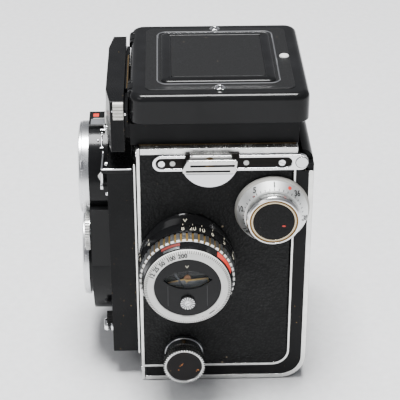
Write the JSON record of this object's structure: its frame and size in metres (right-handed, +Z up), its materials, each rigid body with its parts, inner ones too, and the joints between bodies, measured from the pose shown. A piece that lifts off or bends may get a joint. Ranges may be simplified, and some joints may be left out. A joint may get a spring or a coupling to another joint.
{
  "type": "twin lens reflex camera",
  "caption": "Box-shaped film camera with two stacked lenses on a sliding front, a folding waist-level hood, a side focusing knob with meter, a winding crank and a hinged back.",
  "frame": {"origin": "centre of the mouth of the tripod socket in the base", "axes": "+Z up, lenses look along -Y, focusing knob on +X, winding crank on -X"},
  "size_m": [0.1117, 0.1042, 0.1494],
  "materials": {
    "black_paint": "gloss black enamel over an alloy casting, worn at the edges",
    "black_casting": "matt black anodised casting",
    "satin_chrome": "satin chrome",
    "bright_chrome": "polished chrome",
    "satin_alloy": "satin anodised",
    "leather": "black pebble grain",
    "steel": "turned",
    "mirror": "front silvered",
    "screen": "ground glass",
    "optics": "coated glass",
    "cell": "ribbed diffuser",
    "window": "clear",
    "ivory": "ivory white",
    "needle": "painted orange",
    "blade": "blued",
    "gloss_black": "glossy"
  },
  "bodies": {
    "camera_body": {"front_plate": "black_paint", "left_wall": "black_casting", "right_wall": "black_casting", "top_deck": "satin_chrome", "light_box": "black_casting", "film_gate": "satin_alloy", "viewing_mirror": "mirror", "focusing_screen": "screen", "hood_base": "black_paint", "side_leathers": "leather", "body_trims": "satin_chrome", "strap_plates": "satin_chrome", "strap_lugs": "satin_chrome", "body_screws": "bright_chrome", "meter_head": "black_paint", "meter_cell": "cell", "contact_block": "ivory", "hinge_pins": "steel", "side_bosses": "satin_alloy", "meter_housing": "gloss_black", "meter_window": "window"},
    "lower_roller": {"lower_film_roller": "steel"},
    "upper_roller": {"upper_film_roller": "steel"},
    "standard": {"lens_standard": "black_paint", "lens_housing": "black_paint", "lens_bezels": "bright_chrome", "lens_glasses": "optics", "shutter_housing": "black_casting", "shutter_blades": "blade", "peep_window": "black_paint", "sync_socket": "bright_chrome"},
    "speed_wheel": {"speed_wheel": "bright_chrome"},
    "aperture_wheel": {"aperture_wheel": "bright_chrome"},
    "release_button": {"shutter_release": "bright_chrome"},
    "timer_lever": {"timer_lever": "bright_chrome"},
    "focus_ring": {"focus_knob": "black_paint", "focus_grip": "satin_alloy"},
    "dial_ring": {"meter_dial_ring": "bright_chrome"},
    "needle": {"meter_needle": "needle"},
    "film_speed_wheel": {"film_speed_wheel": "bright_chrome"},
    "counter_dial": {"counter_dial": "satin_chrome"},
    "upper_sleeve": {"upper_sleeve": "satin_alloy"},
    "upper_knob": {"upper_spool_knob": "bright_chrome"},
    "lower_sleeve": {"lower_sleeve": "satin_alloy"},
    "lower_knob": {"lower_spool_knob": "bright_chrome"},
    "back": {"camera_back": "black_paint", "back_leather": "leather", "tripod_bush": "satin_alloy"},
    "pressure_plate": {"pressure_plate": "black_casting"},
    "lock_lever": {"back_lock_lever": "satin_chrome"},
    "lid": {"hood_lid": "black_paint", "finder_flap": "black_casting"},
    "left_flap": {"left_flap": "black_paint"},
    "right_flap": {"right_flap": "black_paint"},
    "rear_flap": {"rear_flap": "black_paint"},
    "magnifier": {"magnifier_frame": "satin_alloy", "magnifier_lens": "optics"},
    "crank": {"crank_hub": "satin_chrome"},
    "crank_arm": {"crank_arm": "satin_chrome"},
    "crank_grip": {"crank_grip": "gloss_black"}
  },
  "joints": [
    {"name": "standard_slide", "type": "slide", "parent": "camera_body", "child": "standard", "axis": [0, -1, 0], "range_m": [0, 0.0061]},
    {"name": "focus_turn", "type": "hinge", "parent": "camera_body", "child": "focus_ring", "pos_m": [0.0456, -0.0171, 0.0665], "axis": [1, 0, 0], "range_deg": [0, 300]},
    {"name": "speed_turn", "type": "hinge", "parent": "standard", "child": "speed_wheel", "pos_m": [-0.0206, -0.062, 0.071], "axis": [0, 1, 0], "range_deg": [0, 270]},
    {"name": "aperture_turn", "type": "hinge", "parent": "standard", "child": "aperture_wheel", "pos_m": [0.0206, -0.062, 0.071], "axis": [0, 1, 0], "range_deg": [0, 200]},
    {"name": "release_press", "type": "slide", "parent": "standard", "child": "release_button", "axis": [0, 1, 0], "range_m": [0, 0.003], "stiffness_N_per_m": 350, "springref_m": -0.001},
    {"name": "timer_swing", "type": "hinge", "parent": "standard", "child": "timer_lever", "pos_m": [0.029, -0.0545, 0.1], "axis": [0, 1, 0], "range_deg": [0, 50]},
    {"name": "dial_turn", "type": "hinge", "parent": "camera_body", "child": "dial_ring", "pos_m": [0.0615, -0.0171, 0.0665], "axis": [1, 0, 0], "continuous": true},
    {"name": "needle_swing", "type": "hinge", "parent": "camera_body", "child": "needle", "pos_m": [0.0583, -0.0171, 0.0625], "axis": [-1, 0, 0], "range_deg": [0, 60]},
    {"name": "film_speed_turn", "type": "hinge", "parent": "camera_body", "child": "film_speed_wheel", "pos_m": [0.0625, -0.0171, 0.0593], "axis": [1, 0, 0], "range_deg": [0, 300]},
    {"name": "counter_turn", "type": "hinge", "parent": "camera_body", "child": "counter_dial", "pos_m": [0.0425, 0.0207, 0.093], "axis": [1, 0, 0], "continuous": true},
    {"name": "upper_pull", "type": "slide", "parent": "camera_body", "child": "upper_sleeve", "axis": [1, 0, 0], "range_m": [0, 0.006]},
    {"name": "upper_knob_turn", "type": "hinge", "parent": "upper_sleeve", "child": "upper_knob", "pos_m": [0.049, 0.0207, 0.093], "axis": [1, 0, 0], "continuous": true},
    {"name": "lower_pull", "type": "slide", "parent": "camera_body", "child": "lower_sleeve", "axis": [1, 0, 0], "range_m": [0, 0.006]},
    {"name": "lower_knob_turn", "type": "hinge", "parent": "lower_sleeve", "child": "lower_knob", "pos_m": [0.047, -0.0187, 0.016], "axis": [1, 0, 0], "continuous": true},
    {"name": "upper_roller_spin", "type": "hinge", "parent": "camera_body", "child": "upper_roller", "pos_m": [0, 0.0236, 0.079], "axis": [1, 0, 0], "continuous": true},
    {"name": "lower_roller_spin", "type": "hinge", "parent": "camera_body", "child": "lower_roller", "pos_m": [0, 0.0236, 0.0178], "axis": [1, 0, 0], "continuous": true},
    {"name": "back_hinge", "type": "hinge", "parent": "camera_body", "child": "back", "pos_m": [0, 0.0334, 0.1151], "axis": [1, 0, 0], "range_deg": [0, 100]},
    {"name": "plate_spring", "type": "slide", "parent": "back", "child": "pressure_plate", "axis": [0, 1, 0], "range_m": [0, 0.0008], "stiffness_N_per_m": 1500, "springref_m": -0.001},
    {"name": "lock_turn", "type": "hinge", "parent": "back", "child": "lock_lever", "pos_m": [0, 0, 0.0008], "axis": [0, 0, 1], "range_deg": [0, 90]},
    {"name": "lid_hinge", "type": "hinge", "parent": "camera_body", "child": "lid", "pos_m": [0, -0.04, 0.1455], "axis": [1, 0, 0], "range_deg": [0, 90]},
    {"name": "left_flap_fold", "type": "hinge", "parent": "camera_body", "child": "left_flap", "pos_m": [0.033, 0, 0.136], "axis": [0, 1, 0], "range_deg": [0, 90]},
    {"name": "right_flap_fold", "type": "hinge", "parent": "camera_body", "child": "right_flap", "pos_m": [-0.033, 0, 0.136], "axis": [0, -1, 0], "range_deg": [0, 90]},
    {"name": "rear_flap_fold", "type": "hinge", "parent": "camera_body", "child": "rear_flap", "pos_m": [0, 0.0292, 0.136], "axis": [-1, 0, 0], "range_deg": [0, 90]},
    {"name": "magnifier_level", "type": "hinge", "parent": "lid", "child": "magnifier", "pos_m": [0, -0.008, 0.1438], "axis": [-1, 0, 0], "range_deg": [0, 90]},
    {"name": "crank_turn", "type": "hinge", "parent": "camera_body", "child": "crank", "pos_m": [-0.043, 0.002, 0.072], "axis": [-1, 0, 0], "range_deg": [0, 360]},
    {"name": "crank_fold", "type": "hinge", "parent": "crank", "child": "crank_arm", "pos_m": [-0.047, 0.002, 0.079], "axis": [0, 1, 0], "range_deg": [0, 180]},
    {"name": "grip_spin", "type": "hinge", "parent": "crank_arm", "child": "crank_grip", "pos_m": [-0.0433, 0.002, 0.053], "axis": [1, 0, 0], "continuous": true}
  ],
  "couplings": [
    {"joint": "focus_turn", "follows": "standard_slide", "rad_per_m": 858},
    {"joint": "left_flap_fold", "follows": "lid_hinge", "ratio": 1},
    {"joint": "right_flap_fold", "follows": "lid_hinge", "ratio": 1},
    {"joint": "rear_flap_fold", "follows": "lid_hinge", "ratio": 1},
    {"joint": "magnifier_level", "follows": "lid_hinge", "ratio": 1}
  ]
}
